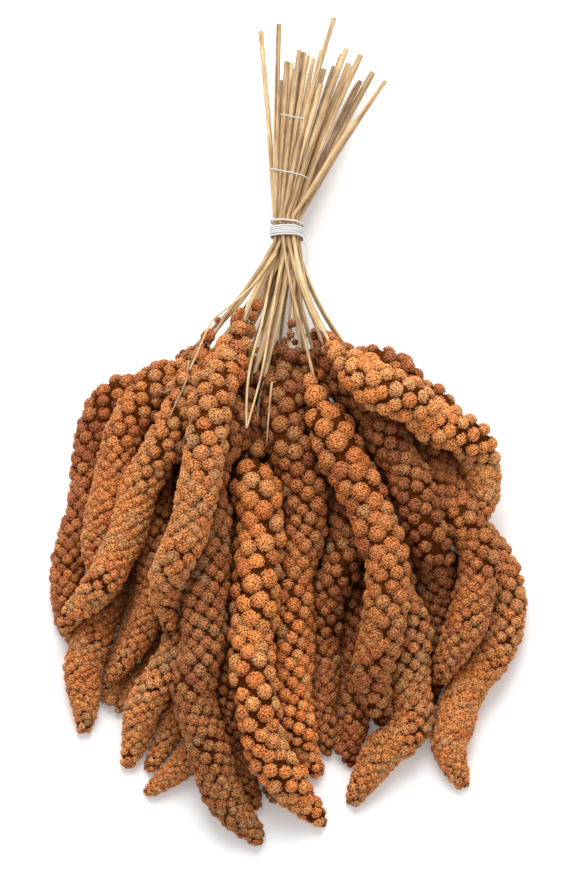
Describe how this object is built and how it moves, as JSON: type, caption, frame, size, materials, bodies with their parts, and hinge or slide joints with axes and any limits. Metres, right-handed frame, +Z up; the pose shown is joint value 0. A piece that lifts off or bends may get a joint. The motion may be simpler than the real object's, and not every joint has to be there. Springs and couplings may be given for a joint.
{
  "type": "tied bunch of millet seed heads",
  "caption": "Bunch of dried red foxtail millet seed heads on straw stalks, bound by a wound white thread and lying on its side.",
  "frame": {"origin": "on the surface that the bunch lies on, below the middle of its box", "axes": "+Z up; +Y from the seed heads along the stalks to their cut ends; +X to the right when seen from above with the stalks pointing away"},
  "size_m": [0.2302, 0.4034, 0.0827],
  "materials": {
    "millet": "matt, finely seeded, rust brown",
    "straw": "satin dry straw",
    "thread": "matt cotton thread"
  },
  "bodies": {
    "root": {"seed_head_01": "millet", "seed_head_02": "millet", "seed_head_03": "millet", "seed_head_04": "millet", "seed_head_05": "millet", "seed_head_06": "millet", "seed_head_07": "millet", "seed_head_08": "millet", "seed_head_09": "millet", "seed_head_10": "millet", "seed_head_11": "millet", "seed_head_12": "millet", "seed_head_13": "millet", "seed_head_14": "millet", "seed_head_15": "millet", "seed_head_16": "millet", "seed_head_17": "millet", "seed_head_18": "millet", "seed_head_19": "millet", "seed_head_20": "millet", "seed_head_21": "millet", "seed_head_22": "millet", "seed_head_23": "millet", "seed_head_24": "millet", "seed_head_25": "millet", "seed_head_26": "millet", "stalk_01": "straw", "stalk_02": "straw", "stalk_03": "straw", "stalk_04": "straw", "stalk_05": "straw", "stalk_06": "straw", "stalk_07": "straw", "stalk_08": "straw", "stalk_09": "straw", "stalk_10": "straw", "stalk_11": "straw", "stalk_12": "straw", "stalk_13": "straw", "stalk_14": "straw", "stalk_15": "straw", "stalk_16": "straw", "stalk_17": "straw", "stalk_18": "straw", "stalk_19": "straw", "stalk_20": "straw", "stalk_21": "straw", "stalk_22": "straw", "stalk_23": "straw", "stalk_24": "straw", "stalk_25": "straw", "stalk_26": "straw", "tie_band": "thread", "tie_thread": "thread"}
  },
  "joints": []
}
